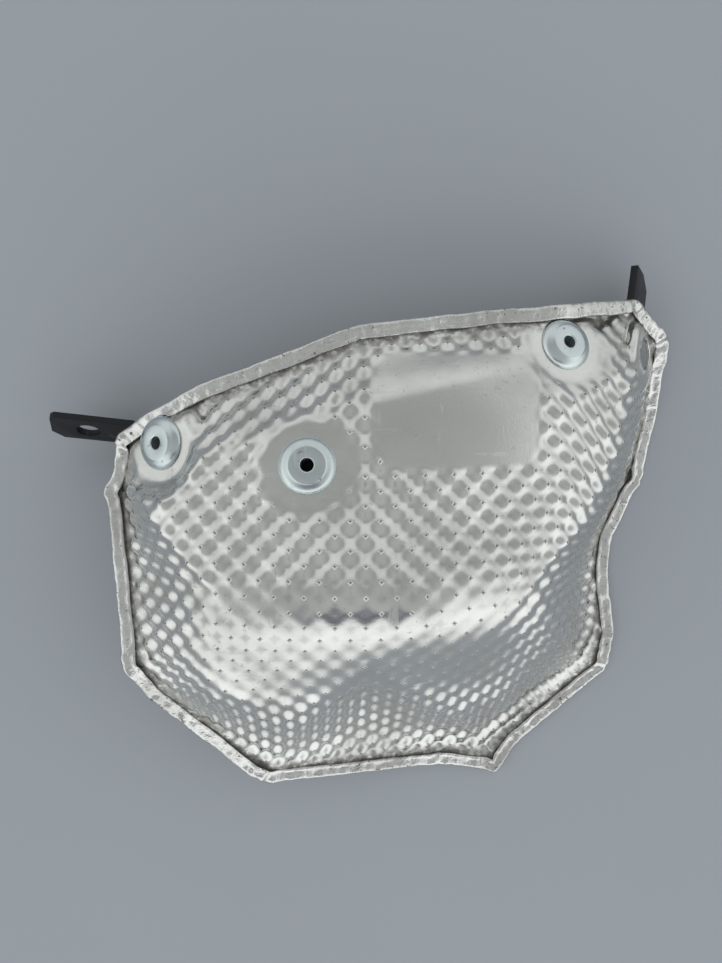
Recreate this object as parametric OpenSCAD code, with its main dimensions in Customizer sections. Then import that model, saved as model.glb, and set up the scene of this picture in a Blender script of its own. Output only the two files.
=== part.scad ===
// Double-skinned embossed aluminium heat shield on a formed steel bracket.
// Millimetres. +Z is up, away from the surface that the shield lies on, +X runs
// from the bracket's ear to its leg, and the origin is under the middle of the part.

/* [Foils] */
// Thickness of each aluminium foil
foil_t = 0.4; // [0.3:0.05:0.8]
// Gap between the two nested foils
nest_gap = 0.1; // [0.05:0.05:0.3]
// Distance from an embossed nub to the next hollow
emboss_pitch = 5.5; // [4:0.5:9]
// Height of a nub above the middle of the foil
emboss_h = 0.9; // [0.2:0.1:1.4]
// Width of the folded hem
hem_w = 5.2; // [3:0.1:8]

/* [Crown] */
// Height of the crown over the centre
crown_h = 66; // [50:1:90]
// Rise of the crown towards +X, in mm over the first 100
crown_rise_x = -7; // [-15:1:5]
// Rise of the crown towards +Y, in mm over the first 100
crown_rise_y = 9; // [-5:1:15]
// Bow of the crown across X, in mm over the first 100
crown_bow_x = 22; // [5:1:35]
// Bow of the crown across Y, in mm over the first 100
crown_bow_y = 38; // [15:1:50]
// Twist of the crown between the two diagonals
crown_twist = 20; // [0:1:25]
// Height of the ridge above the lower wall
ridge_h = 15; // [0:1:20]
// Half length of the ridge
ridge_l = 72; // [40:1:90]
// Half width of the ridge
ridge_w = 26; // [15:1:40]

/* [Walls] */
// Plan width of the wall on the left
wall_left = 43; // [30:1:60]
// Plan width of the wall at the left shoulder
wall_shoulder = 24; // [15:1:40]
// Plan width of the wall at the lower left cut
wall_low_left = 26; // [15:1:40]
// Plan width of the wall along the bottom
wall_bottom = 68; // [50:1:85]
// Plan width of the wall at the lower right cut
wall_low_right = 30; // [15:1:45]
// Plan width of the wall on the right
wall_right = 47; // [30:1:60]
// Plan width of the wall under the bolt window
wall_window = 30; // [15:1:40]
// Plan width of the wall along the top
wall_top = 24; // [15:1:40]

/* [Pad] */
// Length of the smooth pad pressed beside the middle rivet
pad_l = 55; // [30:1:65]
// Width of the smooth pad
pad_w = 37; // [20:1:45]

/* [Rivets] */
// Diameter of a rivet's head
head_d = 19.5; // [14:0.5:24]
// Height of a rivet's head
head_h = 3; // [2:0.25:5]
// Wall of a rivet's head
head_t = 1.2; // [0.8:0.1:2]
// Outside diameter of a rivet's shank
shank_d = 6.5; // [5.5:0.1:8]
// Bore through a rivet
bore_d = 4.5; // [3:0.1:5]
// Radial clearance round a shank
shank_clear = 0.15; // [0.05:0.05:0.5]
// Diameter of the smooth seat pressed round a rivet
seat_d = 27; // [24:0.5:34]
// Outside diameter of a backing washer
washer_d = 13; // [11:0.5:18]
// Thickness of a backing washer
washer_t = 1.2; // [0.8:0.1:2]
// Height of the rolled end of a shank
roll_h = 1.6; // [1:0.1:2.5]

/* [Bracket] */
// Width of the bracket's strap
strap_w = 16.5; // [14:0.5:20]
// Thickness of the strap
strap_t = 2.8; // [1.5:0.1:3.5]
// Length of the ear, from its tip to the twist
ear_l = 31; // [26:1:40]
// Diameter of the bolt hole in the ear
ear_hole_d = 9; // [6:0.1:10]
// Distance from the ear's tip to the middle of its hole
ear_hole_x = 14; // [11:0.5:20]
// Diameter of the bolt hole in the leg
leg_hole_d = 9; // [6:0.1:10]
// Length of the locating tab beyond the strap's edge
tab_l = 27; // [15:1:35]
// Diameter of the bolt window in the shield's right wall
window_d = 12; // [10:0.5:14]

/* [Hidden] */
$fn = 48;
tiny = 0.01;

// Rim of the shield, counter-clockwise: x, y and height of the underside of the hem
rim = [
    [105, 93, 24],          // upper right corner
    [72, 88.8, 40],
    [31.5, 85, 41],
    [-3, 80.5, 45],         // top
    [-59, 59.5, 42],
    [-81, 48.5, 36.5],      // left shoulder
    [-93.5, 39.5, 28],      // corner over the ear
    [-98, 19, 27.5],
    [-89.5, -44.5, 42],     // lower left cut
    [-82, -58, 38],
    [-48.5, -96.5, 21],
    [-39, -103.5, 18],
    [35.5, -104, 3],        // bottom
    [60.5, -108.5, 0],
    [67.5, -97.5, 0],       // lower right cut
    [106.5, -62.5, 1.5],
    [110.5, -46.5, 1],
    [106.8, -19.5, 0.3],    // right
    [108, -5.5, 0],
    [120, 22.5, 0],
    [124, 47.5, 3],
    [123.5, 80, 12.5]
];
// Point that the rim's angles are taken from
mid = [4.5, -5];
// Point that the crown bows away from, and middle of the ridge
crown_at = [-3.5, -1];
ridge_at = [18.5, -18];
// The three rivet seats and the bolt window: middle in plan, and slopes towards +X and +Y
seat_left = [[-73, 38.4], [0.63, -0.1]];
seat_centre = [[-19.7, 32], [0.02, -0.19]];
seat_right = [[72.8, 74.1], [-0.32, -0.34]];
seat_window = [[110.1, 71.9], [-1.3, -0.03]];
// Middle of the smooth pad, and the radius of its corners
pad_at = [32, 51];
pad_round = 6;
// Flat ground left round the bolt window
window_land = 4.5;
// How fast a seat's smooth ground, and the pad's, runs out into the embossing
seat_blend = 7;
pad_blend = 3;
// Distance from the hem within which a seat gives way to the wall's foot
seat_foot = 3;
// Distance from the hem over which the embossing comes to its full height
emboss_run = 12;
// Exponent that moves the steepest part of a wall towards its foot
foot_bias = 0.7;
// Angles that the walls' widths belong to
wall_widths = [[-195, wall_shoulder], [-175, wall_left], [-140, wall_low_left], [-95, wall_bottom],
    [-50, wall_low_right], [-12, wall_right], [35, wall_window], [60, wall_top], [130, wall_top],
    [165, wall_shoulder], [185, wall_left]];

function angle_to(p) = atan2(p[1] - mid[1], p[0] - mid[0]);
function reach(p) = norm([p[0] - mid[0], p[1] - mid[1]]);

// The rim's straight runs in short steps, as a table from angle to reach and to height
rim_steps = 8;
rim_path = [for (k = [0 : len(rim) - 1], t = [0 : rim_steps - 1])
    rim[k] + (rim[(k + 1) % len(rim)] - rim[k]) * t / rim_steps];
rim_n = len(rim_path);
// How much longer a step along the radius is than the same step square to the rim
function slant(k) = let (
        before = rim_path[(k + rim_n - rim_steps / 2) % rim_n],
        after = rim_path[(k + rim_steps / 2) % rim_n],
        run = [after[0] - before[0], after[1] - before[1]],
        out = [rim_path[k][0] - mid[0], rim_path[k][1] - mid[1]])
    min(1.6, norm(run) * norm(out) / abs(cross(run, out)));
rim_angles = [for (k = [0 : rim_n - 1]) let (p = rim_path[k]) [angle_to(p), reach(p), p[2], slant(k)]];
lowest_angle = min([for (a = rim_angles) a[0]]);
first = [for (k = [0 : rim_n - 1]) if (rim_angles[k][0] == lowest_angle) k][0];
rim_order = [for (k = [0 : rim_n - 1]) rim_angles[(first + k) % rim_n]];
function turn_list(values) = [for (turn = [-360, 0, 360], k = [0 : rim_n - 1])
    [rim_order[k][0] + turn, values[k]]];
reach_table = turn_list([for (a = rim_order) a[1]]);
height_table = turn_list([for (a = rim_order) a[2]]);
slant_table = turn_list([for (a = rim_order) a[3]]);
function rim_reach(angle) = lookup(angle, reach_table);
// Height of the foils' common face at the rim
function rim_height(angle) = lookup(angle, height_table) + nest_gap / 2 + foil_t;
// Reach of a line that runs inside the rim at a distance
function reach_inside(angle, in) = rim_reach(angle) - in * lookup(angle, slant_table);
function foot_reach(angle) = reach_inside(angle, hem_w);
function depth_in(p) = foot_reach(angle_to(p)) - reach(p);

function ease(t) = t <= 0 ? 0 : t >= 1 ? 1 : t * t * (3 - 2 * t);
function crown(x, y) = let (u = x - crown_at[0], v = y - crown_at[1])
    crown_h + (crown_rise_x * u + crown_rise_y * v) / 100
    - (crown_bow_x * u * u + crown_bow_y * v * v - crown_twist * u * v) / 10000
    + ridge_h * exp(-pow((x - ridge_at[0]) / ridge_l, 2) - pow((y - ridge_at[1]) / ridge_w, 2));

// Height of the plain form: crown, walls that fall from it, and the level hem
function form(x, y) = let (
        angle = angle_to([x, y]),
        in = depth_in([x, y]) / lookup(angle, wall_widths),
        rise = in <= 0 ? 0 : in >= 1 ? 1 : ease(pow(in, foot_bias)),
        low = rim_height(angle))
    low + (crown(x, y) - low) * rise;

// Each seat as middle, height, slopes and radius of its flat ground
function seat(place, flat_d) = let (at = place[0]) [at, form(at[0], at[1]), place[1], flat_d / 2];
s_left = seat(seat_left, seat_d);
s_centre = seat(seat_centre, seat_d);
s_right = seat(seat_right, seat_d);
s_window = seat(seat_window, window_d + 2 * window_land);
seats = [s_left, s_centre, s_right, s_window];

function seat_plane(s, x, y) = s[1] + s[2][0] * (x - s[0][0]) + s[2][1] * (y - s[0][1]);
// Distance along the seat's own plane
function seat_far(s, x, y) = norm([x - s[0][0], y - s[0][1],
    s[2][0] * (x - s[0][0]) + s[2][1] * (y - s[0][1])]);
function seat_share(s, x, y) = (1 - ease((seat_far(s, x, y) - s[3]) / seat_blend))
    * ease(depth_in([x, y]) / seat_foot);

// Height of the foils' common face, with its seats pressed flat
function sheet(x, y, k = 0, z = undef) = let (z0 = is_undef(z) ? form(x, y) : z)
    k == len(seats) ? z0 :
    let (s = seats[k], share = seat_share(s, x, y))
    sheet(x, y, k + 1, z0 * (1 - share) + seat_plane(s, x, y) * share);
// How far a place lies outside the pad, and the share of the embossing that is ironed out there
function pad_far(x, y) = norm([
    max(0, abs(x - pad_at[0]) - pad_l / 2 + pad_round),
    max(0, abs(y - pad_at[1]) - pad_w / 2 + pad_round)]) - pad_round;
function pad_share(x, y) = 1 - ease(pad_far(x, y) / pad_blend);
function calm(x, y) = max(pad_share(x, y), max([for (s = seats) seat_share(s, x, y)]));
function unit(v) = v / norm(v);
function sheet_normal(x, y) = let (e = 1)
    unit([sheet(x - e, y) - sheet(x + e, y), sheet(x, y - e) - sheet(x, y + e), 2 * e]);

// The lattice of nubs and hollows, trimmed where the walls meet the hem
columns = ceil(150 / emboss_pitch);
rows = ceil(125 / emboss_pitch);
stride = 2 * columns + 1;
points_n = stride * (2 * rows + 1);
function column(k) = k % stride - columns;
function row(k) = floor(k / stride) - rows;
function lattice(k) = [mid[0] + column(k) * emboss_pitch, mid[1] + row(k) * emboss_pitch];
depths = [for (k = [0 : points_n - 1]) depth_in(lattice(k))];
function inside(k) = depths[k] > 0;

// Where the edge between two lattice points crosses the foot of the wall
function crossing(a, b) = let (
        t = depths[a] / (depths[a] - depths[b]),
        p = lattice(a) * (1 - t) + lattice(b) * t,
        angle = angle_to(p),
        far = foot_reach(angle))
    mid + far * [cos(angle), sin(angle)];
function trimmed(k, step) = let (other = k + step)
    other >= points_n || inside(k) == inside(other) ? mid :
    inside(k) ? crossing(k, other) : crossing(other, k);

// Plan points: the lattice, then the trims along X, then those along Y
plan = concat([for (k = [0 : points_n - 1]) lattice(k)],
    [for (k = [0 : points_n - 1]) trimmed(k, 1)],
    [for (k = [0 : points_n - 1]) trimmed(k, stride)]);
used = [for (k = [0 : points_n - 1]) inside(k)];
function nub(k) = k >= points_n ? 0 : let (p = plan[k])
    emboss_h * ((column(k) + row(k)) % 2 == 0 ? 1 : -1)
    * (1 - calm(p[0], p[1])) * ease(depths[k] / emboss_run);
function on_face(k) = k >= points_n || used[k];
normals = [for (k = [0 : len(plan) - 1]) on_face(k) ? sheet_normal(plan[k][0], plan[k][1]) : [0, 0, 1]];
face_points = [for (k = [0 : len(plan) - 1]) let (p = plan[k])
    on_face(k) ? [p[0], p[1], sheet(p[0], p[1])] + normals[k] * nub(k) : [0, 0, 0]];

// A cell's corners and trims in order round it
function cell_loop(k) = let (
        c = [k, k + 1, k + 1 + stride, k + stride],
        cut = [points_n + k, 2 * points_n + k + 1, points_n + k + stride, 2 * points_n + k])
    [for (n = [0 : 3]) each concat(inside(c[n]) ? [c[n]] : [],
        inside(c[n]) != inside(c[(n + 1) % 4]) ? [cut[n]] : [])];
cells = [for (j = [0 : 2 * rows - 1], i = [0 : 2 * columns - 1])
    let (loop = cell_loop(j * stride + i)) if (len(loop) > 2) loop];
face = [for (loop = cells, n = [1 : len(loop) - 2]) [loop[0], loop[n + 1], loop[n]]];
// The trimmed edge as pairs of points, with the sheet on the left
edge = [for (loop = cells, n = [0 : len(loop) - 1])
    let (a = loop[n], b = loop[(n + 1) % len(loop)])
    if (a >= points_n && b >= points_n) [a, b]];

// A point of the hem: in plan at a distance in from the rim, at a height above the common face
function hem_point(k, in, up) = k < points_n ? [0, 0, 0] : let (
        p = plan[k],
        angle = angle_to(p),
        far = reach_inside(angle, in))
    [mid[0] + far * cos(angle), mid[1] + far * sin(angle), rim_height(angle) + up];

// A foil: its upper and lower faces, joined round the edge by the rings of its hem.
// Each ring is a distance in from the rim and a height.
module foil(upper, lower, rings) {
    n = len(plan);
    loops = len(rings) + 2;
    points = concat(
        [for (k = [0 : n - 1]) face_points[k] + normals[k] * upper],
        [for (r = rings, k = [0 : n - 1]) hem_point(k, r[0], r[1])],
        [for (k = [0 : n - 1]) face_points[k] + normals[k] * lower]);
    faces = concat(face,
        [for (f = face) [for (v = [2 : -1 : 0]) f[v] + (loops - 1) * n]],
        [for (e = edge, r = [0 : loops - 2]) each [
            [e[0] + r * n, e[1] + r * n, e[1] + (r + 1) * n],
            [e[0] + r * n, e[1] + (r + 1) * n, e[0] + (r + 1) * n]]]);
    polyhedron(points, faces);
}

// Frame of a seat: its middle, turned so that Z is the seat's normal
function seat_normal(s) = unit([-s[2][0], -s[2][1], 1]);
module on_seat(s) {
    n = seat_normal(s);
    translate([s[0][0], s[0][1], s[1]])
        rotate([0, acos(n[2]), atan2(n[1], n[0])])
            children();
}

front_top = nest_gap / 2 + foil_t;
back_bottom = -front_top;
strap_bottom = back_bottom - strap_t;
washer_bottom = strap_bottom - washer_t;
hole_d = shank_d + 2 * shank_clear;

module rivet_holes() {
    for (s = [s_left, s_centre, s_right])
        on_seat(s) translate([0, 0, -8]) cylinder(d = hole_d, h = 16);
}

module window_hole() {
    on_seat(s_window) translate([0, 0, -5]) cylinder(d = window_d, h = 10);
}

module front_skin() {
    color("silver") difference() {
        foil(front_top, nest_gap / 2, [
            [foil_t + nest_gap, front_top],
            [foil_t + nest_gap, nest_gap / 2]]);
        rivet_holes();
        window_hole();
    }
}

module back_skin() {
    lip_low = front_top + nest_gap;
    lip_top = lip_low + foil_t;
    lip_in = hem_w - nest_gap;
    color("gainsboro") difference() {
        foil(-nest_gap / 2, back_bottom, [
            [foil_t, -nest_gap / 2],
            [foil_t, lip_low],
            [lip_in, lip_low],
            [lip_in, lip_top],
            [0, lip_top],
            [0, back_bottom]]);
        rivet_holes();
        window_hole();
    }
}

// A domed head with a turned-down edge on a tubular shank, rolled over behind its washer
module rivet(s) {
    head_r = head_d / 2;
    bore_r = bore_d / 2;
    shank_r = shank_d / 2;
    crown_r = head_r * 0.55;
    color("lightsteelblue") on_seat(s) rotate_extrude() union() {
        difference() {
            polygon(concat(
                [[bore_r, front_top], [head_r, front_top]],
                [for (t = [0 : 15 : 90]) [crown_r + (head_r - crown_r) * cos(t),
                    front_top + head_h * sin(t)]],
                [[bore_r, front_top + head_h]]));
            polygon(concat(
                [[shank_r, front_top - tiny], [head_r - head_t, front_top - tiny]],
                [for (t = [0 : 15 : 90]) [crown_r + (head_r - crown_r - head_t) * cos(t),
                    front_top + (head_h - head_t) * sin(t)]],
                [[shank_r, front_top + head_h - head_t]]));
        }
        polygon([
            [bore_r, washer_bottom - roll_h], [shank_r, washer_bottom - roll_h],
            [shank_r + roll_h * 0.8, washer_bottom - roll_h / 2], [shank_r + roll_h * 0.8, washer_bottom],
            [shank_r, washer_bottom], [shank_r, front_top + head_h / 2], [bore_r, front_top + head_h / 2]]);
    }
}

module washer(s) {
    color("slategray") on_seat(s) translate([0, 0, washer_bottom]) difference() {
        cylinder(d = washer_d, h = washer_t);
        translate([0, 0, -1]) cylinder(d = hole_d, h = washer_t + 2);
    }
}

// A station of the strap: the middle of its upper face, the directions of its width and of its
// face, and how far it reaches either way across
pad_half = strap_w / 2;
function station(at, across, face, low = pad_half, high = pad_half) = [at, across, face, low, high];
function seat_point(s) = [s[0][0], s[0][1], s[1]];
function seat_station(s, along, shift, high = pad_half) = let (
        n = seat_normal(s),
        d = unit(along - n * (along * n)))
    station(seat_point(s) + n * back_bottom + d * shift, cross(n, d), n, pad_half, high);

// Halfway between two stations, sunk clear of the hollows above
strap_dip = 3;
function between(a, b) = let (n = unit(a[2] + b[2]))
    station((a[0] + b[0]) / 2 - n * strap_dip, unit(a[1] + b[1]), n, (a[3] + b[3]) / 2, (a[4] + b[4]) / 2);

// The ear stands nearly on edge: its upper front corner at the tip, and the directions of its
// length, width and face
ear_tip = [-121, 47.4, 22.4];
ear_along = unit([31, -3.8, -7]);
ear_face = unit(cross(ear_along, [0.22, 0.47, 0.85]));
ear_up = cross(ear_face, ear_along);
function ear_station(x, low = pad_half, high = pad_half) =
    station(ear_tip + ear_along * x - ear_up * pad_half, ear_up, ear_face, low, high);

// The leg lies behind the bolt window, and its tab runs on past the hem
leg_gap = 3.5;
leg_face = seat_normal(s_window);
leg_side = unit(cross(leg_face, [0.16, 1, -0.27]));
leg_along = cross(leg_side, leg_face);
leg_at = seat_point(s_window) + leg_face * (back_bottom - leg_gap);
function leg_station(up, far) = station(leg_at + leg_side * up, leg_along, leg_face, pad_half, far);

// Directions of the strap from seat to seat
run_left = seat_point(s_centre) - seat_point(s_left);
run_right = seat_point(s_right) - seat_point(s_centre);
run_leg = leg_at - seat_point(s_right);
run_centre = unit(run_left) + unit(run_right);
run_corner = unit(run_right) + unit(run_leg);

// Cut corners of the ear and of the tab
low_cut = 4.5;
top_cut = 1.5;
// The strap's upper edge is cut back where it passes the shield's left shoulder and right corner
waist = 1.5;
shoulder = 6.5;
corner_waist = 4;
pad_short = 6.8;

module place(at, x, y, z) {
    multmatrix([[x[0], y[0], z[0], at[0]], [x[1], y[1], z[1], at[1]], [x[2], y[2], z[2], at[2]]])
        children();
}

// A strip of sheet steel swept through its stations
module strap(stations) {
    last = len(stations) - 1;
    points = [for (s = stations) each let (p = s[0], w = s[1], down = s[2] * strap_t) [
        p - w * s[3], p + w * s[4], p + w * s[4] - down, p - w * s[3] - down]];
    faces = concat([[0, 3, 2], [0, 2, 1]],
        [for (k = [0 : last - 1], c = [0 : 3]) let (a = 4 * k + c, b = 4 * k + (c + 1) % 4) each [
            [a, b, a + 4], [b, b + 4, a + 4]]],
        [[4 * last, 4 * last + 1, 4 * last + 2], [4 * last, 4 * last + 2, 4 * last + 3]]);
    polyhedron(points, faces);
}

module bracket() {
    left_in = seat_station(s_left, run_left, pad_half, shoulder);
    centre_out = seat_station(s_centre, run_centre, -pad_half);
    centre_in = seat_station(s_centre, run_centre, pad_half);
    right_out = seat_station(s_right, run_corner, -pad_short, shoulder);
    tab_end = pad_half + tab_l;
    color("#1d1f22") difference() {
        strap([
            ear_station(0, pad_half - low_cut, pad_half - top_cut),
            ear_station(top_cut, pad_half - low_cut + top_cut),
            ear_station(low_cut),
            ear_station(ear_l),
            seat_station(s_left, run_left, -pad_short, waist),
            seat_station(s_left, run_left, 0, shoulder),
            left_in,
            between(left_in, centre_out),
            centre_out,
            centre_in,
            between(centre_in, right_out),
            right_out,
            seat_station(s_right, run_corner, 0, shoulder),
            seat_station(s_right, run_corner, pad_half, corner_waist),
            leg_station(pad_half, corner_waist),
            leg_station(pad_half - top_cut, tab_end),
            leg_station(1.5 * low_cut - pad_half, tab_end),
            leg_station(-pad_half, tab_end - low_cut)]);
        rivet_holes();
        place(ear_tip, ear_along, ear_up, ear_face)
            translate([ear_hole_x, -pad_half, -2 * strap_t]) cylinder(d = ear_hole_d, h = 4 * strap_t);
        place(leg_at, leg_along, leg_side, leg_face)
            translate([0, 0, -2 * strap_t]) cylinder(d = leg_hole_d, h = 4 * strap_t);
    }
}

front_skin();
back_skin();
bracket();
rivet(s_left);  // rivet_left
rivet(s_centre);  // rivet_centre
rivet(s_right);  // rivet_right
washer(s_left);  // washer_left
washer(s_centre);  // washer_centre
washer(s_right);  // washer_right
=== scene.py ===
"""Looks of a heat shield: two embossed foils with a folded hem, three rivets and a steel strap."""
import math

import bmesh
import bpy
import numpy as np
from mathutils import Matrix, Vector, noise


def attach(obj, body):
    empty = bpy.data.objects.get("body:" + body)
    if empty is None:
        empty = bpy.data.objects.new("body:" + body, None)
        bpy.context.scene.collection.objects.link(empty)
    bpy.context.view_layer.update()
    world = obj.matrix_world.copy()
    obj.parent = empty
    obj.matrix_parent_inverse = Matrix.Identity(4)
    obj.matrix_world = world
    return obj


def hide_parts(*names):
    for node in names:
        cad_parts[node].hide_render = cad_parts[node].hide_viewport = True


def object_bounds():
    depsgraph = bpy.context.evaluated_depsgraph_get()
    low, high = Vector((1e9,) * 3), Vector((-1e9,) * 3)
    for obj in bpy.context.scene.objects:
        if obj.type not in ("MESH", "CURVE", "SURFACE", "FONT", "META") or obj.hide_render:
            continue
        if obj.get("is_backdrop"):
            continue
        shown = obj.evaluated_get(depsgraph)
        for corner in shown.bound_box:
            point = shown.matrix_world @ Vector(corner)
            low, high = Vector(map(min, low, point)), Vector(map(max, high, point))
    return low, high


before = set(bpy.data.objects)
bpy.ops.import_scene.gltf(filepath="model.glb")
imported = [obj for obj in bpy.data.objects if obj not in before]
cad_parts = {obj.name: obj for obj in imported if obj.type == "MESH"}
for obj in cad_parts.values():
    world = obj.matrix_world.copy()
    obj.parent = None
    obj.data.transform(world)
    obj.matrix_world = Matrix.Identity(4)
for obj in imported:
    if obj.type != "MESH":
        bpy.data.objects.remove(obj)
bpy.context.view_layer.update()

MM = 0.001

# Foils, in mm
FOIL = 0.4
NEST = 0.1
HEM = 5.2
LIFT = NEST / 2 + FOIL

# Rim of the hood, counter-clockwise: x, y and height of the hem's underside, in mm
RIM = [
    (105, 93, 24), (72, 88.8, 40), (31.5, 85, 41), (-3, 80.5, 45), (-59, 59.5, 42),
    (-81, 48.5, 36.5), (-93.5, 39.5, 28), (-98, 19, 27.5), (-89.5, -44.5, 42), (-82, -58, 38),
    (-48.5, -96.5, 21), (-39, -103.5, 18), (35.5, -104, 3), (60.5, -108.5, 0), (67.5, -97.5, 0),
    (106.5, -62.5, 1.5), (110.5, -46.5, 1), (106.8, -19.5, 0.3), (108, -5.5, 0), (120, 22.5, 0),
    (124, 47.5, 3), (123.5, 80, 12.5)]
MID = (4.5, -5)
RIM_STEP = 0.5
RIM_ROUND = 1.6
HEM_TURN = 2.6
MOST_SLANT = 1.6
CORNER_REACH = 4
CORNER_PERCENTILE = 93

# Crown and walls, in mm
CROWN_AT = (-3.5, -1)
CROWN_H = 66
RISE = (-0.07, 0.09)
BOW = (0.0022, 0.0038)
TWIST = 0.002
RIDGE_AT = (18.5, -18)
RIDGE_H = 15
RIDGE_SIZE = (72, 26)
WALL_ANGLES = (-195, -175, -140, -95, -50, -12, 35, 60, 130, 165, 185)
WALL_WIDTHS = (24, 43, 26, 68, 30, 47, 30, 24, 24, 24, 43)
FOOT_BIAS = 0.7

# Seats: middle in plan, slopes towards +X and +Y, and radius of the flat ground, in mm
SEATS = {
    "left": ((-73, 38.4), (0.63, -0.1), 13.5),
    "centre": ((-19.7, 32), (0.02, -0.19), 13.5),
    "right": ((72.8, 74.1), (-0.32, -0.34), 13.5),
    "window": ((110.1, 71.9), (-1.3, -0.03), 10.5)}
SEAT_BLEND = 7
SEAT_FOOT = 3
HOLES = {"window": 6, "left": 3.6, "centre": 3.6, "right": 3.6}
HOLE_DEPTH = 3

# Smooth pad beside the middle rivet, in mm
PAD_AT = (32, 51)
PAD_SIZE = (55, 37)
PAD_ROUND = 6
PAD_BLEND = 3

# Embossing, in mm along the foil, measured from one place in plan
LATTICE_AT = (4.5, -5)
PITCH = 5
NUB = 0.85
NUB_SHARPNESS = 1.3
EMBOSS_RUN = 4
UNEVEN = 0.25
FLAT_SPAN = 400
FRONT_SPACING = 1.0
BACK_SPACING = 1.25

# Both foils end this far in from the rim, and the inner one eases away under the nubs, in mm
TUCK = 3.0
BACK_EASE = 0.3

# Depth inside the rim at which the depth attribute comes to 1, in mm
DEPTH_SPAN = 40

# Steps over which a trimmed border is evened out
EDGE_EVENING = 8
HOLE_EVENING = 3

# Unevenness of the foils: size in mm and seed
SOFT_SWELL = (14, 1.3)
LONG_WAVES = (9, 3.1)
SHORT_WAVES = (3.2, 7.7)
CRUSHES = (4.2, 12.4)

# Crinkle of the hem, in mm: sideways, upwards, and more of both at its corners
SWAY = 0.55
LONG_LIFT = 0.35
SHORT_LIFT = 0.55
CORNER_CRUSH = 0.9
CORNER_LIFT = 0.5

# Drawn front wall, where the embossing is ironed out: share, and reach in y and to both sides
IRONED = 0.8
IRONED_BAND = (-2, -13, -44, -60)
IRONED_MIDDLE = -2
IRONED_SIDES = (42, 66)

# Section of the folded hem from the tucked edge round to the curled lip: distance in from the
# rim and height above the foils' common face, in mm
HEM_SECTION = [
    (1.7, -0.3), (0.9, -0.27), (0.4, -0.02), (0.2, 0.4), (0.34, 0.85), (0.8, 1.18), (1.6, 1.3),
    (2.6, 1.2), (3.6, 1.08), (4.4, 1.16), (4.9, 1.3), (5.25, 1.16), (5.3, 0.88), (4.95, 0.72)]

# Crushed folds of the hem: middle in plan, reach, bulge outwards and lift, in mm
FOLDS = (
    ((-92.5, 41), 4.5, 1.6, 1.8), ((-95.5, 30), 8, -1.6, 0.2), ((-98.5, 20), 4, 1.8, 1.0),
    ((-88, -46), 6, 0.8, 0.9), ((-45, -99), 6, 0.8, 0.9), ((60, -106), 6, 0.8, 0.8),
    ((108, -58), 7, 0.9, 0.9), ((119, 20), 6, 0.8, 0.8), ((124, 72), 5, 0.8, 0.9))

# Rivets, in mm
HEAD_R = 9.75
HEAD_H = 3
BORE_R = 2.25
SHANK_R = 3.25
STRAP = 2.8
WASHER = 1.2
WASHER_BACK = LIFT + STRAP + WASHER
ROLL_H = 1.6
TURN_STEPS = 96
SIDES = ("left", "centre", "right")

# Width of the strap's broken edges, in mm
EDGE_BREAK = 0.45

# Colours: clean, dulled, and of the grime or the scuffs, and how far the foils are dulled; on the
# foils the grime colour also paints shade, as a dark dot at each nub tip and in the crease beside
# the hem
OUTER_FOIL = ((0.74, 0.74, 0.72, 1), (0.6, 0.6, 0.57, 1), (0.12, 0.1, 0.08, 1))
INNER_FOIL = ((0.76, 0.76, 0.74, 1), (0.58, 0.57, 0.54, 1), (0.13, 0.11, 0.09, 1))
RIVET_ZINC = ((0.66, 0.72, 0.73, 1), (0.56, 0.62, 0.63, 1), (0.12, 0.11, 0.1, 1))
WASHER_ZINC = ((0.55, 0.57, 0.57, 1), (0.45, 0.46, 0.46, 1), (0.12, 0.11, 0.1, 1))
BLACK_COAT = ((0.005, 0.0055, 0.007, 1), (0.012, 0.013, 0.015, 1), (0.1, 0.1, 0.11, 1))
# Painted shade inside the rivets' bores: near-black
BORE_SHADE = (0.012, 0.012, 0.012, 1)
FLOOR_COLORS = ((0.4, 0.43, 0.47, 1), (0.45, 0.48, 0.52, 1))
WORN = 0.8

# Studio sky: brightness at angles from straight above, in degrees, and from front to back, and a
# dark band in front, with the angles where it comes and goes and its reach to both sides
SKY_LEVELS = ((0, 0.56), (38, 0.54), (48, 1.02), (66, 1.18), (82, 0.98), (90, 0.6))
SKY_TINT = (0.97, 1.0, 1.0, 1)
BAND = (20, 25, 36, 42)
BAND_COLOR = (0.13, 0.12, 0.16, 1)
BAND_REACH = (0.25, 0.55)
FRONT_TO_BACK = (-0.75, 0.75, 1.08, 0.7)

# Floor's width in metres
FLOOR_SPAN = 4

# Camera: place in metres, turn in degrees, lens in mm
EYE_AT = (-0.0087, 0.0516, 0.30535)
EYE_TURN = (-5.9, -1.63, 0.09)
EYE_LENS = 27.03


def softened(values, spread):
    """Closed run of values along the rim, with its corners rounded off over a spread in mm."""
    cycles = np.fft.rfftfreq(len(values), RIM_STEP)
    kept = np.exp(-2 * (math.pi * cycles * spread) ** 2)
    return np.fft.irfft(np.fft.rfft(values) * kept, len(values))


def rim_path():
    """The rim as closely spaced points with rounded corners."""
    corners = np.array(RIM, float)
    runs = []
    for start, end in zip(corners, np.roll(corners, -1, axis=0)):
        steps = max(2, round(float(np.linalg.norm(end - start)) / RIM_STEP))
        runs.append(start + (end - start) * (np.arange(steps) / steps)[:, None])
    path = np.concatenate(runs)
    return np.column_stack([softened(path[:, k], RIM_ROUND) for k in range(3)])


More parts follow.
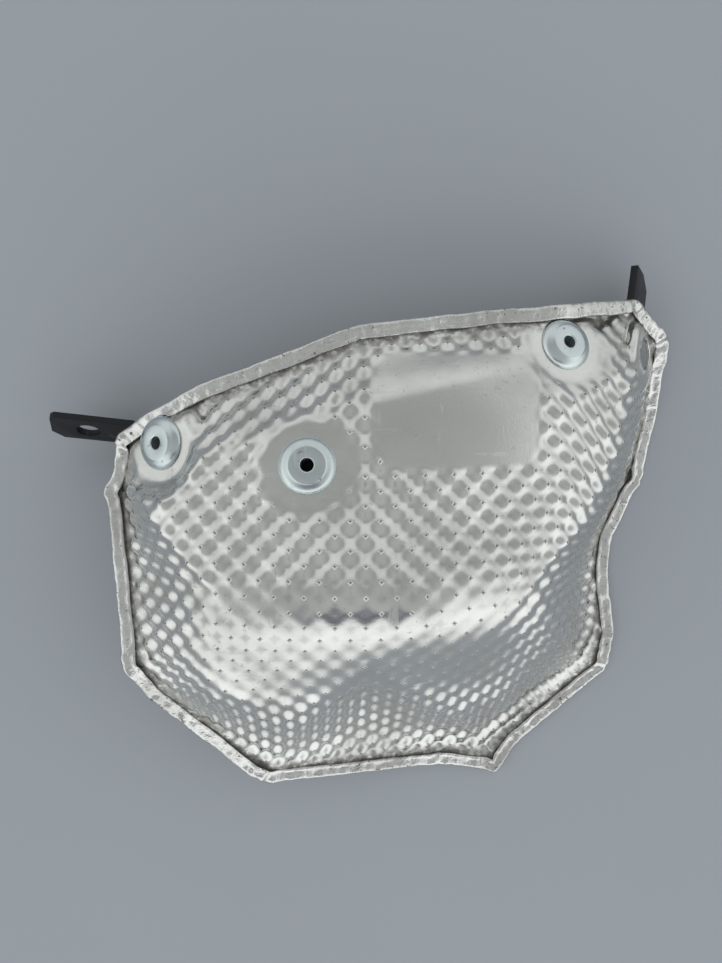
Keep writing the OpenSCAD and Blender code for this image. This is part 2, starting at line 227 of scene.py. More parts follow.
path = rim_path()
run = np.roll(path, -1, axis=0) - np.roll(path, 1, axis=0)
run_way = np.unwrap(np.arctan2(run[:, 1], run[:, 0]))
outward = np.column_stack([softened(run[:, 1], HEM_TURN), softened(-run[:, 0], HEM_TURN)])
outward /= np.linalg.norm(outward, axis=1)[:, None]
from_mid = path[:, :2] - MID
rim_angle = np.arctan2(from_mid[:, 1], from_mid[:, 0])
rim_reach = np.hypot(from_mid[:, 0], from_mid[:, 1])
slant = np.minimum(MOST_SLANT, rim_reach / np.sum(outward * from_mid, axis=1))
bend = softened(np.abs(np.gradient(run_way)), CORNER_REACH)
corner_share = np.clip(bend / np.percentile(bend, CORNER_PERCENTILE), 0, 1) ** 1.5


def round_rim(angle, values):
    """A value along the rim, at an angle about the middle."""
    return np.interp(angle, rim_angle, values, period=2 * math.pi)


def angle_to(x, y):
    return np.arctan2(y - MID[1], x - MID[0])


def inside_rim(x, y):
    """Distance inside the rim, square to it near the edge."""
    angle = angle_to(x, y)
    return (round_rim(angle, rim_reach) - np.hypot(x - MID[0], y - MID[1])) / round_rim(angle, slant)


def ease(t):
    """Soft step from 0 to 1."""
    t = np.clip(t, 0, 1)
    return t * t * (3 - 2 * t)


def rim_height(angle):
    return round_rim(angle, path[:, 2]) + LIFT


def radial_depth(x, y):
    """Distance inside the hem's inner edge, towards the middle."""
    return (inside_rim(x, y) - HEM) * round_rim(angle_to(x, y), slant)


def crown(x, y):
    u, v = x - CROWN_AT[0], y - CROWN_AT[1]
    along = (x - RIDGE_AT[0]) / RIDGE_SIZE[0]
    athwart = (y - RIDGE_AT[1]) / RIDGE_SIZE[1]
    ridge = RIDGE_H * np.exp(-along ** 2 - athwart ** 2)
    slopes = RISE[0] * u + RISE[1] * v + TWIST * u * v
    return CROWN_H + slopes - BOW[0] * u * u - BOW[1] * v * v + ridge


def form(x, y):
    """Height of the plain form: crown, falling walls and level hem."""
    angle = angle_to(x, y)
    width = np.interp(np.degrees(angle), WALL_ANGLES, WALL_WIDTHS)
    rise = ease(np.clip(radial_depth(x, y) / width, 0, 1) ** FOOT_BIAS)
    low = rim_height(angle)
    return low + (crown(x, y) - low) * rise


def seat_frame(name):
    """Middle of a seat, the directions across it, and its normal."""
    (x, y), (slope_x, slope_y), _ = SEATS[name]
    middle = np.array([x, y, float(form(np.array(x), np.array(y)))])
    normal = np.array([-slope_x, -slope_y, 1.0])
    normal /= np.linalg.norm(normal)
    across = np.cross([0, 1, 0], normal)
    across /= np.linalg.norm(across)
    return middle, across, np.cross(normal, across), normal


def seat_shares(x, y):
    """For each seat, its plane's height and how far the foil follows it."""
    near_foot = ease(radial_depth(x, y) / SEAT_FOOT)
    for name, ((sx, sy), (slope_x, slope_y), flat_r) in SEATS.items():
        drop = slope_x * (x - sx) + slope_y * (y - sy)
        far = np.sqrt((x - sx) ** 2 + (y - sy) ** 2 + drop ** 2)
        yield seat_frame(name)[0][2] + drop, (1 - ease((far - flat_r) / SEAT_BLEND)) * near_foot


def sheet(x, y):
    """Height of the foils' common face, and the share of the embossing that is ironed out."""
    z = form(x, y)
    calm = np.zeros_like(z)
    for plane, share in seat_shares(x, y):
        z = z * (1 - share) + plane * share
        calm = np.maximum(calm, share)
    out_x = np.maximum(0, np.abs(x - PAD_AT[0]) - PAD_SIZE[0] / 2 + PAD_ROUND)
    out_y = np.maximum(0, np.abs(y - PAD_AT[1]) - PAD_SIZE[1] / 2 + PAD_ROUND)
    pad = 1 - ease((np.hypot(out_x, out_y) - PAD_ROUND) / PAD_BLEND)
    return z, np.maximum(calm, pad)


# The lattice was pressed into flat foil, so it is measured along the drawn surface
TABLE_STEP = 0.5
PLAN_STEPS = 60
PLAN_SHARE = 0.7
TABLE_X = np.arange(-150, 150 + TABLE_STEP, TABLE_STEP)
TABLE_Y = np.arange(-135, 135 + TABLE_STEP, TABLE_STEP)
slope_y, slope_x = np.gradient(sheet(*np.meshgrid(TABLE_X, TABLE_Y))[0], TABLE_STEP)


def run_length(slope, axis, values, zero):
    """Length along the surface from a zero line, in rows or columns of the table."""
    steps = np.sqrt(1 + slope ** 2) * TABLE_STEP
    length = np.cumsum(steps, axis=axis) - steps / 2
    start = int(round((zero - values[0]) / TABLE_STEP))
    return length - np.take(length, [start], axis=axis)


along_a = run_length(slope_x, 1, TABLE_X, LATTICE_AT[0])
along_b = run_length(slope_y, 0, TABLE_Y, LATTICE_AT[1])


def sample(table, x, y):
    """Table read between its points."""
    fx = np.clip((x - TABLE_X[0]) / TABLE_STEP, 0, len(TABLE_X) - 1.001)
    fy = np.clip((y - TABLE_Y[0]) / TABLE_STEP, 0, len(TABLE_Y) - 1.001)
    i, j = fx.astype(int), fy.astype(int)
    u, v = fx - i, fy - j
    return ((table[j, i] * (1 - u) + table[j, i + 1] * u) * (1 - v)
            + (table[j + 1, i] * (1 - u) + table[j + 1, i + 1] * u) * v)


def plan_of(a, b):
    """Plan place of a point of the flat foil, found by stepping towards it."""
    x, y = a * 0.85 + LATTICE_AT[0], b * 0.85 + LATTICE_AT[1]
    for _ in range(PLAN_STEPS):
        step = (a - sample(along_a, x, y)) / np.sqrt(1 + sample(slope_x, x, y) ** 2)
        x = np.clip(x + PLAN_SHARE * step, TABLE_X[0] + 1, TABLE_X[-1] - 1)
        step = (b - sample(along_b, x, y)) / np.sqrt(1 + sample(slope_y, x, y) ** 2)
        y = np.clip(y + PLAN_SHARE * step, TABLE_Y[0] + 1, TABLE_Y[-1] - 1)
    return x, y


def nub_height(a, b):
    """Nubs and hollows of the lattice in turn, between -1 and 1."""
    wave = np.cos(math.pi * a / PITCH) * np.cos(math.pi * b / PITCH)
    return np.sign(wave) * np.abs(wave) ** NUB_SHARPNESS


def only(piece):
    """Selects one piece and nothing else."""
    bpy.ops.object.select_all(action="DESELECT")
    piece.select_set(True)
    bpy.context.view_layer.objects.active = piece


def border_loops(bm):
    """Open edges of a mesh as closed loops of vertices, the longest first."""
    left = {e for e in bm.edges if e.is_boundary}
    loops = []
    while left:
        edge = left.pop()
        loop = [edge.verts[0], edge.verts[1]]
        while loop[-1] is not loop[0]:
            edge = next(e for e in loop[-1].link_edges if e in left)
            left.discard(edge)
            loop.append(edge.other_vert(loop[-1]))
        loops.append(loop[:-1])
    return sorted(loops, key=len, reverse=True)


def evened(angles, spread):
    """Angles of a stepped border, evened out so that they always move on."""
    turns = np.unwrap(angles)
    if turns[-1] < turns[0]:
        return None
    count = len(turns)
    even = np.arange(count) * 2 * math.pi / count
    rest = turns - even
    padded = np.concatenate([rest[-spread:], rest, rest[:spread]])
    kernel = np.hanning(2 * spread + 3)[1:-1]
    return np.convolve(padded, kernel / kernel.sum(), mode="valid") + even


def ordered(loop, angle_of, spread):
    """Evened angles along a border, which is turned round first if it runs clockwise."""
    angles = evened(angle_of(loop), spread)
    if angles is None:
        loop.reverse()
        angles = evened(angle_of(loop), spread)
    return angles


def wrinkle(points, size, seed):
    """Soft noise between -1 and 1 at points in mm."""
    places = points / size + np.array([seed, 0, 0])
    return np.array([noise.noise(Vector(place)) for place in places])


def hem_ring(angles, inset, up):
    """Points of the hem at a distance in from the rim and a height, crinkled as it was folded."""
    x, y, z = (round_rim(angles, path[:, k]) for k in range(3))
    out_x, out_y = (round_rim(angles, outward[:, k]) for k in range(2))
    corner = round_rim(angles, corner_share)
    at = np.column_stack([x - out_x * inset, y - out_y * inset, z + up])
    on_top = ease(up)
    long_wave = wrinkle(at, *LONG_WAVES)
    short_wave = wrinkle(at, *SHORT_WAVES)
    crush = wrinkle(at, *CRUSHES)
    shift_in = on_top * (SWAY * long_wave + CORNER_CRUSH * corner * crush)
    crumple = corner * (CORNER_CRUSH * np.abs(crush) + CORNER_LIFT * short_wave)
    lift = on_top * (LONG_LIFT * long_wave + SHORT_LIFT * short_wave + crumple)
    for (fold_x, fold_y), reach, bulge, raised in FOLDS:
        near = np.exp(-((x - fold_x) ** 2 + (y - fold_y) ** 2) / reach ** 2)
        shift_in -= near * (bulge * 0.6 + 1.1 * crush * on_top)
        lift += near * on_top * raised * (0.45 + 1.3 * np.abs(short_wave))
    at[:, 0] -= out_x * shift_in
    at[:, 1] -= out_y * shift_in
    at[:, 2] += LIFT + lift
    return at


def ironed_share(x, y):
    """How far the embossing is ironed out where the front wall was drawn."""
    start, full, leaving, end = IRONED_BAND
    share = ease((y - start) / (full - start)) * (1 - ease((y - leaving) / (end - leaving)))
    near, far = IRONED_SIDES
    return share * (1 - ease((np.abs(x - IRONED_MIDDLE) - near) / (far - near)))


def in_holes(points):
    """Whether points lie within the window or a rivet's hole."""
    inside = np.zeros(len(points), bool)
    for name, radius in HOLES.items():
        middle, across, up, normal = seat_frame(name)
        off = points - middle
        inside |= (np.hypot(off @ across, off @ up) < radius) & (np.abs(off @ normal) < HOLE_DEPTH)
    return inside


def trimmed(piece, drop):
    """Deletes some vertices of a piece, and what hangs loose then."""
    mesh = piece.data
    only(piece)
    bpy.ops.object.mode_set(mode="EDIT")
    bpy.ops.mesh.select_mode(type="VERT")
    bpy.ops.object.mode_set(mode="OBJECT")
    mesh.polygons.foreach_set("select", np.zeros(len(mesh.polygons), bool))
    mesh.edges.foreach_set("select", np.zeros(len(mesh.edges), bool))
    mesh.vertices.foreach_set("select", drop)
    bpy.ops.object.mode_set(mode="EDIT")
    bpy.ops.mesh.delete(type="VERT")
    bpy.ops.mesh.select_all(action="SELECT")
    bpy.ops.mesh.delete_loose()
    bpy.ops.object.mode_set(mode="OBJECT")


def pressed_foil(name, spacing, side):
    """A foil's middle face: a flat lattice drawn over the form and trimmed, with its holes."""
    cells = 2 * int(FLAT_SPAN / 2 / spacing)
    bpy.ops.mesh.primitive_grid_add(x_subdivisions=cells, y_subdivisions=cells, size=FLAT_SPAN)
    piece = bpy.context.object
    piece.name = name
    mesh = piece.data
    flat = np.empty(len(mesh.vertices) * 3)
    mesh.vertices.foreach_get("co", flat)
    a, b = flat.reshape(-1, 3)[:, :2].T
    x, y = plan_of(a, b)
    z, calm = sheet(x, y)
    plain = np.column_stack([x, y, z])
    normal = np.column_stack([-sample(slope_x, x, y), -sample(slope_y, x, y), np.ones_like(x)])
    normal /= np.linalg.norm(normal, axis=1)[:, None]
    depth = inside_rim(x, y)
    keep = depth > TUCK
    emboss = (1 - calm) * ease((depth - HEM) / EMBOSS_RUN)
    uneven = np.zeros(len(plain))
    uneven[keep] = UNEVEN * wrinkle(plain[keep], *SOFT_SWELL)
    nubs = NUB * (1 - IRONED * ironed_share(x, y)) * nub_height(a, b) * (1 + uneven)
    level = side * (NEST + FOIL) / 2 - (BACK_EASE * emboss if side < 0 else 0)
    raised = emboss * (nubs + uneven) + level
    mesh.vertices.foreach_set("co", (plain + normal * raised[:, None]).ravel())
    for label, values in (("emboss", emboss), ("depth", np.clip(depth / DEPTH_SPAN, 0, 1))):
        layer = mesh.attributes.new(label, "FLOAT", "POINT")
        layer.data.foreach_set("value", values)
    trimmed(piece, ~keep | in_holes(plain))
    return piece


def set_ring(loop, points):
    for vert, point in zip(loop, points):
        vert.co = point


def round_edge(outer, level):
    """Sets a foil's outer edge along the rim, and gives the rim angles of its vertices."""

    def angle_of(loop):
        return angle_to(*np.array([v.co[:2] for v in loop]).T)

    angles = ordered(outer, angle_of, EDGE_EVENING)
    x, y, z = (round_rim(angles, path[:, k]) for k in range(3))
    out_x, out_y = (round_rim(angles, outward[:, k]) for k in range(2))
    set_ring(outer, np.column_stack([x - out_x * TUCK, y - out_y * TUCK, z + LIFT + level]))
    return angles


def round_hole(edge, level):
    """Sets the edge of a hole in a foil on a true circle about its seat."""
    points = np.array([v.co for v in edge])
    hole = min(HOLES, key=lambda name: np.linalg.norm(points.mean(axis=0) - seat_frame(name)[0]))
    centre, across, up, normal = seat_frame(hole)

    def angle_of(loop):
        off = np.array([v.co for v in loop]) - centre
        return np.arctan2(off @ up, off @ across)

    turns = ordered(edge, angle_of, HOLE_EVENING)
    ring = np.cos(turns)[:, None] * across + np.sin(turns)[:, None] * up
    set_ring(edge, centre + normal * level + HOLES[hole] * ring)


def fold_hem(bm, edge, angles):
    """Carries a foil's outer edge round the other foil's edge and over it, ring by ring."""
    for inset, rise in HEM_SECTION:
        ring = [bm.verts.new(point) for point in hem_ring(angles, inset, rise)]
        for k in range(len(ring)):
            after = (k + 1) % len(ring)
            bm.faces.new((edge[k], ring[k], ring[after], edge[after]))
        edge = ring


def finish_borders(piece, side, hem):
    """Evens the trimmed edge and the holes, and folds the hem round where there is one."""
    bm = bmesh.new()
    bm.from_mesh(piece.data)
    outer, *edges = border_loops(bm)
    level = side * (NEST + FOIL) / 2
    angles = round_edge(outer, level)
    for edge in edges:
        round_hole(edge, level)
    if hem:
        fold_hem(bm, outer, angles)
    bmesh.ops.recalc_face_normals(bm, faces=bm.faces)
    top = max(bm.faces, key=lambda f: f.calc_center_median().z)
    if top.normal.z < 0:
        bmesh.ops.reverse_faces(bm, faces=bm.faces)
    bm.to_mesh(piece.data)
    bm.free()


def applied(piece, kind, name, **settings):
    """Adds a modifier with its settings and applies it."""
    only(piece)
    modifier = piece.modifiers.new(name, kind)
    for key, value in settings.items():
        setattr(modifier, key, value)
    bpy.ops.object.modifier_apply(modifier=name)


def foil_skin(name, node, spacing, side, hem):
    """One foil of the hood, thickened and in metres."""
    piece = pressed_foil(name, spacing, side)
    finish_borders(piece, side, hem)
    applied(piece, "SOLIDIFY", "foil thickness", thickness=FOIL, offset=0)
    piece.data.transform(Matrix.Scale(MM, 4))
    only(piece)
    bpy.ops.object.shade_smooth()
    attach(piece, "root")
    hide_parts(node)
    return piece


def turned(name, outline):
    """An outline of radius and height, in mm, from axis to axis, spun into a solid."""
    mesh = bpy.data.meshes.new(name)
    piece = bpy.data.objects.new(name, mesh)
    bpy.context.collection.objects.link(piece)
    count = len(outline)
    mesh.from_pydata([(r, 0, z) for r, z in outline], [(k, k + 1) for k in range(count - 1)], [])
    only(piece)
    bpy.ops.object.mode_set(mode="EDIT")
    bpy.ops.mesh.select_all(action="SELECT")
    bpy.ops.mesh.spin(steps=TURN_STEPS, angle=2 * math.pi, center=(0, 0, 0), axis=(0, 0, 1))
    bpy.ops.mesh.select_all(action="SELECT")
    bpy.ops.mesh.remove_doubles(threshold=0.001)
    bpy.ops.mesh.normals_make_consistent(inside=False)
    bpy.ops.object.mode_set(mode="OBJECT")
    return piece


def on_seat(piece, seat_name):
    """Moves a turned piece's mesh from the origin on to its seat, and to metres."""
    middle, across, up, normal = seat_frame(seat_name)
    turn = Matrix((across, up, normal)).transposed().to_4x4()
    piece.data.transform(Matrix.Scale(MM, 4) @ Matrix.Translation(middle) @ turn)


def rivet_outline():
    """Section of a rivet from the stub in its bore round head and tail to the stub's underside."""
    top = LIFT + HEAD_H
    back = -WASHER_BACK
    return [
        (0, back + 0.6), (BORE_R, back + 0.6), (BORE_R, top - 0.45), (BORE_R + 0.06, top - 0.22),
        (BORE_R + 0.25, top - 0.08), (BORE_R + 0.6, top - 0.02), (4.6, top), (6.1, top - 0.02),
        (6.3, top - 0.08), (6.6, top - 0.28), (6.8, top - 0.38), (7.6, top - 0.68), (8.3, top - 1.0),
        (8.75, top - 1.3), (9.2, top - 1.72), (9.55, top - 2.2), (HEAD_R - 0.05, top - 2.6),
        (HEAD_R, LIFT + 0.3), (HEAD_R - 0.08, LIFT + 0.06), (HEAD_R - 0.4, LIFT + 0.01),
        (HEAD_R - 0.9, LIFT + 0.12), (8.2, LIFT + 0.9), (6.8, LIFT + 1.6), (5.0, top - 1.2),
        (SHANK_R, top - 1.2), (SHANK_R, back), (SHANK_R + ROLL_H * 0.75, back - 0.05),
        (SHANK_R + ROLL_H * 0.85, back - 0.5), (SHANK_R + ROLL_H * 0.6, back - 1.1),
        (SHANK_R, back - 1.5), (BORE_R + 0.4, back - ROLL_H), (BORE_R - 0.3, back - ROLL_H * 0.8),
        (0, back - ROLL_H * 0.6)]


def rivets():
    """Three rivets from one section, with their bores marked so that the material paints shade in
    them.
    """
    master = turned("rivet_left_piece", rivet_outline())
    layer = master.data.attributes.new("bore", "FLOAT", "POINT")
    for point, vert in zip(layer.data, master.data.vertices):
        within = math.hypot(vert.co.x, vert.co.y) < BORE_R + 0.03
        point.value = float(within and -WASHER_BACK < vert.co.z < LIFT + HEAD_H - 0.6)
    made = [master]
    for side in SIDES[1:]:
        copy = master.copy()
        copy.data = master.data.copy()
        copy.name = f"rivet_{side}_piece"
        bpy.context.collection.objects.link(copy)
        made.append(copy)
    for piece, side in zip(made, SIDES):
        on_seat(piece, side)
        only(piece)
        bpy.ops.object.shade_smooth_by_angle(angle=math.radians(50))
        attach(piece, "root")
        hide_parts(f"rivet_{side}")
    return made


def bracket_piece():
    """The strap's own shape with its loose triangles joined and its edges broken."""
    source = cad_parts["bracket"]
    mesh = source.data.copy()
    piece = bpy.data.objects.new("bracket_piece", mesh)
    bpy.context.collection.objects.link(piece)
    mesh.transform(source.matrix_world)
    mesh.materials.clear()
    only(piece)
    bpy.ops.object.mode_set(mode="EDIT")
    bpy.ops.mesh.select_all(action="SELECT")
    bpy.ops.mesh.remove_doubles(threshold=2e-5)
    bpy.ops.mesh.dissolve_limited(angle_limit=math.radians(1))
    bpy.ops.object.mode_set(mode="OBJECT")
    applied(piece, "BEVEL", "broken edges", width=EDGE_BREAK * MM, segments=3, limit_method="ANGLE",
            angle_limit=math.radians(38))
    only(piece)
    bpy.ops.object.shade_smooth_by_angle(angle=math.radians(32))
    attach(piece, "root")
    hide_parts("bracket")
    return piece


# Helpers for node trees
def group_tree(name, label_in, labels_out):
    """A node group with one vector to read and some values to give."""
    tree = bpy.data.node_groups.new(name, "ShaderNodeTree")
    tree.interface.new_socket(label_in, in_out="INPUT", socket_type="NodeSocketVector")
    for label in labels_out:
        tree.interface.new_socket(label, in_out="OUTPUT", socket_type="NodeSocketFloat")
    return tree, tree.nodes.new("NodeGroupInput"), tree.nodes.new("NodeGroupOutput")


def put(tree, socket, value):
    """Links one socket to another, or gives it a plain value."""
    if isinstance(value, bpy.types.NodeSocket):
        tree.links.new(value, socket)
    else:
        socket.default_value = value


def maths(tree, operation, first, second=0.0, clamp=False):
    node = tree.nodes.new("ShaderNodeMath")
    node.operation = operation
    node.use_clamp = clamp
    put(tree, node.inputs[0], first)
    put(tree, node.inputs[1], second)
    return node.outputs[0]


def times(tree, first, second):
    return maths(tree, "MULTIPLY", first, second)


def ramp(tree, value, low, high, out_low=0.0, out_high=1.0):
    """Soft step between two values."""
    node = tree.nodes.new("ShaderNodeMapRange")
    node.interpolation_type = "SMOOTHSTEP"
    put(tree, node.inputs["Value"], value)
    limits = {"From Min": low, "From Max": high, "To Min": out_low, "To Max": out_high}
    for label, number in limits.items():
        put(tree, node.inputs[label], number)
    return node.outputs["Result"]


def fade(tree, value, low, high):
    """Soft step down from 1 to 0."""
    return ramp(tree, value, low, high, 1.0, 0.0)


def noise_of(tree, vector, scale, detail=3.0, roughness=0.5, stretch=None):
    if stretch:
        mapping = tree.nodes.new("ShaderNodeMapping")
        tree.links.new(vector, mapping.inputs["Vector"])
        mapping.inputs["Scale"].default_value = stretch
        vector = mapping.outputs[0]
    node = tree.nodes.new("ShaderNodeTexNoise")
    tree.links.new(vector, node.inputs["Vector"])
    node.inputs["Scale"].default_value = scale
    node.inputs["Detail"].default_value = detail
    node.inputs["Roughness"].default_value = roughness
    return node.outputs["Fac"]


def mixed(tree, share, first, second, blend="MIX"):
    node = tree.nodes.new("ShaderNodeMix")
    node.data_type = "RGBA"
    node.blend_type = blend
    put(tree, node.inputs["Factor"], share)
    put(tree, node.inputs["A"], first)
    put(tree, node.inputs["B"], second)
    return next(s for s in node.outputs if s.type == "RGBA")


def press_marks_group():
    """Marks of the embossing rolls, read from the flat foil's own map."""
    tree, given, made = group_tree("press marks", "Map", ("Tip", "Ring", "Hollow"))
    parts = tree.nodes.new("ShaderNodeSeparateXYZ")
    tree.links.new(given.outputs["Map"], parts.inputs[0])
    across = maths(tree, "PINGPONG", times(tree, parts.outputs[0], FLAT_SPAN / PITCH), 1.0)
    down = maths(tree, "PINGPONG", times(tree, parts.outputs[1], FLAT_SPAN / PITCH), 1.0)
    both = maths(tree, "ADD", across, down)
    tip = maths(tree, "MINIMUM", both, maths(tree, "SUBTRACT", 2.0, both))
    from_ring = maths(tree, "ABSOLUTE", maths(tree, "SUBTRACT", tip, 0.15))
    apart = maths(tree, "ABSOLUTE", maths(tree, "SUBTRACT", across, down))
    hollow = maths(tree, "SUBTRACT", 1.0, apart)
    tree.links.new(fade(tree, tip, 0.06, 0.11), made.inputs["Tip"])
    tree.links.new(fade(tree, from_ring, 0.01, 0.06), made.inputs["Ring"])
    tree.links.new(fade(tree, hollow, 0.1, 0.6), made.inputs["Hollow"])
    return tree


def weather_group():
    """Dulling, specks of grime and fine scratches of a part that has been in use."""
    tree, given, made = group_tree("weathering", "Place", ("Dull", "Specks", "Scratches", "Grain"))
    place = given.outputs["Place"]
    cloud = noise_of(tree, place, 38, 4, 0.6)
    fine = noise_of(tree, place, 420, 5, 0.65)
    clustered = maths(tree, "ADD", fine, times(tree, cloud, 0.25))
    along = ramp(tree, noise_of(tree, place, 240, 2, 0.5, (1, 0.06, 1)), 0.66, 0.72)
    athwart = ramp(tree, noise_of(tree, place, 260, 2, 0.5, (0.07, 1, 1)), 0.67, 0.73)
    tree.links.new(ramp(tree, cloud, 0.35, 0.7), made.inputs["Dull"])
    tree.links.new(ramp(tree, clustered, 0.74, 0.82), made.inputs["Specks"])
    tree.links.new(maths(tree, "MAXIMUM", along, athwart), made.inputs["Scratches"])
    tree.links.new(noise_of(tree, place, 900, 3, 0.6), made.inputs["Grain"])
    return tree


def use_group(tree, group, vector):
    """Outputs of a node group that reads one vector."""
    node = tree.nodes.new("ShaderNodeGroup")
    node.node_tree = group
    tree.links.new(vector, node.inputs[0])
    return node.outputs


def new_material(name):
    material = bpy.data.materials.new(name)
    material.use_nodes = True
    tree = material.node_tree
    return material, tree, tree.nodes["Principled BSDF"]


def place_of(tree):
    return tree.nodes.new("ShaderNodeTexCoord").outputs["Object"]


def attribute(tree, name):
    node = tree.nodes.new("ShaderNodeAttribute")
    node.attribute_name = name
    return node.outputs["Fac"]


def bump(tree, shader, height_value, strength, distance):
    node = tree.nodes.new("ShaderNodeBump")
    node.inputs["Strength"].default_value = strength
    node.inputs["Distance"].default_value = distance
    tree.links.new(height_value, node.inputs["Height"])
    tree.links.new(node.outputs[0], shader.inputs["Normal"])


def foil_material(name, marks, weather, colors):
    """Embossed aluminium: bright on the nubs, dulled between them, dirty along the hem, with painted
    shade as a dark dot at each nub tip and in the crease beside the hem.
    """
    clean, dulled, grime = colors
    material, tree, shader = new_material(name)
    place = place_of(tree)
    stamped = use_group(tree, marks, tree.nodes.new("ShaderNodeTexCoord").outputs["UV"])
    aged = use_group(tree, weather, place)
    emboss = attribute(tree, "emboss")
    depth = attribute(tree, "depth")
    on_nubs = ramp(tree, emboss, 0.35, 0.8)
    tip = times(tree, stamped["Tip"], on_nubs)
    ring = times(tree, stamped["Ring"], on_nubs)
    hollow = times(tree, stamped["Hollow"], emboss)
    foot = fade(tree, depth, HEM / DEPTH_SPAN, (HEM + 6) / DEPTH_SPAN)
    hem = fade(tree, depth, 0.02, 0.04)
    beside_hem = fade(tree, depth, (HEM + 0.8) / DEPTH_SPAN, (HEM + 5.5) / DEPTH_SPAN)
    crease = times(tree, beside_hem, maths(tree, "SUBTRACT", 1.0, hem))
    crumpled = noise_of(tree, place, 330, 4, 0.6)

    # Grime specks, thicker at the wall's foot, and grime in the hollows, mixed with painted shade: a
    # dark dot at each nub tip and a band in the crease beside the hem
    soiling_and_shade = times(tree, aged["Specks"], maths(tree, "ADD", 0.25, times(tree, foot, 0.75)))
    in_hollows = times(tree, hollow, times(tree, aged["Dull"], 0.3))
    # Painted shade and clotted grime in the crease beside the hem's inner edge, broken up by noise
    crease_shade_and_soiling = times(tree, crease, ramp(tree, crumpled, 0.3, 0.6))
    # The nub tips get a painted dark dot, the painted shade of their pierce
    for more in (times(tree, tip, 0.8), in_hollows, times(tree, crease_shade_and_soiling, 0.85)):
        soiling_and_shade = maths(tree, "MAXIMUM", soiling_and_shade, more)
    tone = mixed(tree, times(tree, aged["Dull"], WORN), clean, dulled)
    put(tree, shader.inputs["Base Color"], mixed(tree, soiling_and_shade, tone, grime))
    put(tree, shader.inputs["Metallic"], maths(tree, "SUBTRACT", 1.0, times(tree, soiling_and_shade, 0.6)))

    rough = maths(tree, "ADD", 0.19, times(tree, aged["Dull"], 0.12))
    rough = maths(tree, "ADD", rough, times(tree, soiling_and_shade, 0.35))
    rough = maths(tree, "ADD", rough, times(tree, aged["Scratches"], 0.1), clamp=True)
    put(tree, shader.inputs["Roughness"], rough)

    scored = times(tree, aged["Scratches"], -0.3)
    relief = maths(tree, "ADD", times(tree, aged["Grain"], 0.5), scored)
    relief = maths(tree, "ADD", relief, times(tree, ring, 2.2))
    relief = maths(tree, "SUBTRACT", relief, times(tree, tip, 1.5))
    relief = maths(tree, "ADD", relief, times(tree, times(tree, hem, crumpled), 9.0))
    bump(tree, shader, relief, 0.5, 0.12 * MM)
    return material


def zinc_material(name, weather, colors, roughness):
    """Zinc plating with a soft spangle and grime caught in it, and painted shade, dark and matte,
    inside the bore.
    """
    clean, dulled, grime = colors
    material, tree, shader = new_material(name)
    aged = use_group(tree, weather, place_of(tree))
    bore = attribute(tree, "bore")
    tone = mixed(tree, aged["Dull"], clean, dulled)
    tone = mixed(tree, times(tree, aged["Specks"], 0.6), tone, grime)
    rough = maths(tree, "ADD", roughness, times(tree, aged["Scratches"], 0.15))
    # Painted shade in the bore: near-black, rough and not metallic
    rough = maths(tree, "MAXIMUM", rough, times(tree, bore, 0.9))
    put(tree, shader.inputs["Base Color"], mixed(tree, bore, tone, BORE_SHADE))
    put(tree, shader.inputs["Metallic"], maths(tree, "SUBTRACT", 1.0, bore))
    put(tree, shader.inputs["Roughness"], rough)
    bump(tree, shader, aged["Grain"], 0.25, 0.1 * MM)
    return material


def coated_material(weather):
    """Black electrocoat with a little dust and a few bright scuffs."""
    clean, dulled, scuffed = BLACK_COAT
    material, tree, shader = new_material("black coated steel")
    aged = use_group(tree, weather, place_of(tree))
    tone = mixed(tree, aged["Dull"], clean, dulled)
    tone = mixed(tree, times(tree, aged["Scratches"], 0.25), tone, scuffed)
    rough = maths(tree, "ADD", 0.38, times(tree, aged["Dull"], 0.15))
    put(tree, shader.inputs["Base Color"], tone)
    put(tree, shader.inputs["Roughness"], rough)
    shader.inputs["Specular IOR Level"].default_value = 0.3
    bump(tree, shader, aged["Grain"], 0.3, 0.08 * MM)
    return material


def clad(piece, material):
    """Gives a piece one material."""
    piece.data.materials.clear()
    piece.data.materials.append(material)


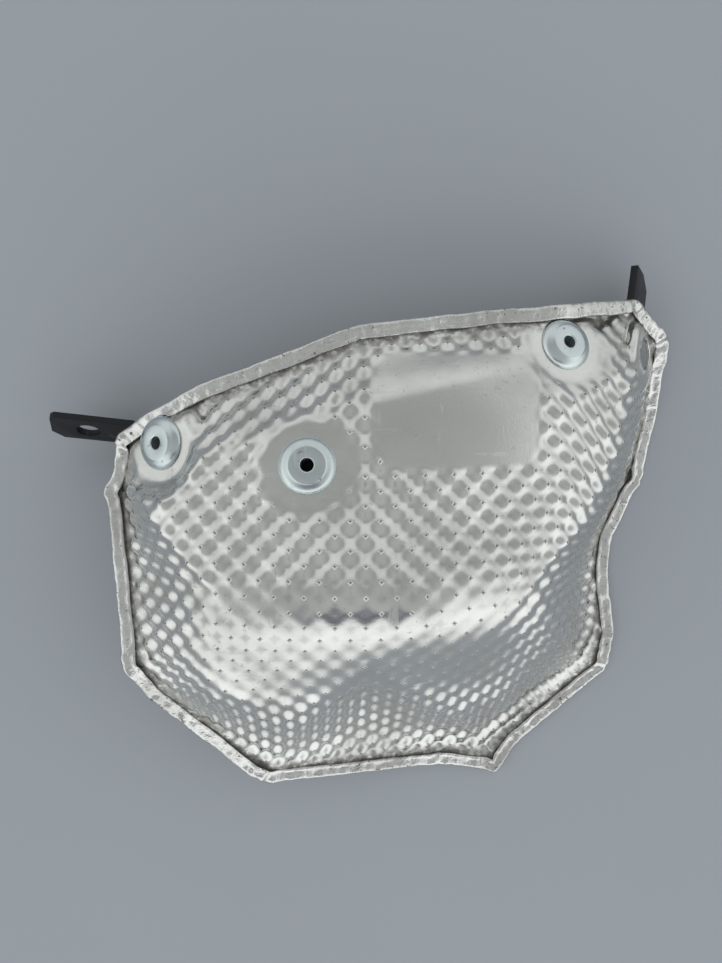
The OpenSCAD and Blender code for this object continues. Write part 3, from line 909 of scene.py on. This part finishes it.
def floor():
    bpy.ops.mesh.primitive_plane_add(size=FLOOR_SPAN, location=(0, 0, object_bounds()[0][2]))
    plane = bpy.context.object
    plane.name = "floor"
    material, tree, shader = new_material("pale floor")
    shade = noise_of(tree, place_of(tree), 3, 3)
    put(tree, shader.inputs["Base Color"], mixed(tree, shade, *FLOOR_COLORS))
    shader.inputs["Roughness"].default_value = 0.8
    clad(plane, material)
    plane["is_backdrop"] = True


def studio():
    """A sky that is dim overhead and at the horizon, bright between, with a dark band in front."""
    world = bpy.data.worlds.new("studio")
    bpy.context.scene.world = world
    world.use_nodes = True
    tree = world.node_tree
    background = tree.nodes["Background"]
    way = tree.nodes.new("ShaderNodeSeparateXYZ")
    tree.links.new(tree.nodes.new("ShaderNodeTexCoord").outputs["Generated"], way.inputs[0])
    across, depth, up = way.outputs
    levels = tree.nodes.new("ShaderNodeValToRGB")
    for k, (angle, level) in enumerate(SKY_LEVELS):
        place = angle / 90
        element = levels.color_ramp.elements[k] if k < 2 else levels.color_ramp.elements.new(place)
        element.position = place
        element.color = (level, level, level, 1)
    tilt = maths(tree, "DIVIDE", maths(tree, "ARCCOSINE", up), math.pi / 2)
    tree.links.new(tilt, levels.inputs[0])
    strength = ramp(tree, depth, *FRONT_TO_BACK)
    sky = mixed(tree, 1.0, levels.outputs[0], SKY_TINT, "MULTIPLY")
    front = maths(tree, "ARCTAN2", times(tree, depth, -1.0), up)
    start, full, leaving, end = (math.radians(angle) for angle in BAND)
    band = times(tree, ramp(tree, front, start, full), fade(tree, front, leaving, end))
    band = times(tree, band, fade(tree, maths(tree, "ABSOLUTE", across), *BAND_REACH))
    tree.links.new(mixed(tree, band, sky, BAND_COLOR), background.inputs["Color"])
    tree.links.new(strength, background.inputs["Strength"])


def camera():
    data = bpy.data.cameras.new("camera")
    data.lens = EYE_LENS
    data.sensor_width = 36
    eye = bpy.data.objects.new("camera", data)
    bpy.context.collection.objects.link(eye)
    eye.location = EYE_AT
    eye.rotation_euler = [math.radians(turn) for turn in EYE_TURN]
    bpy.context.scene.camera = eye


camera()
front = foil_skin("front_skin_piece", "front_skin", FRONT_SPACING, 1, False)
back = foil_skin("back_skin_piece", "back_skin", BACK_SPACING, -1, True)
rivet_pieces = rivets()
strap = bracket_piece()

marks = press_marks_group()
weather = weather_group()
clad(front, foil_material("outer foil", marks, weather, OUTER_FOIL))
clad(back, foil_material("inner foil", marks, weather, INNER_FOIL))
rivet_zinc = zinc_material("rivet zinc", weather, RIVET_ZINC, 0.27)
washer_zinc = zinc_material("washer zinc", weather, WASHER_ZINC, 0.4)
for piece in rivet_pieces:
    clad(piece, rivet_zinc)
clad(strap, coated_material(weather))
for side in SIDES:
    for material_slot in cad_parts[f"washer_{side}"].material_slots:
        material_slot.material = washer_zinc

floor()
studio()
bpy.context.scene.view_settings.view_transform = "Standard"
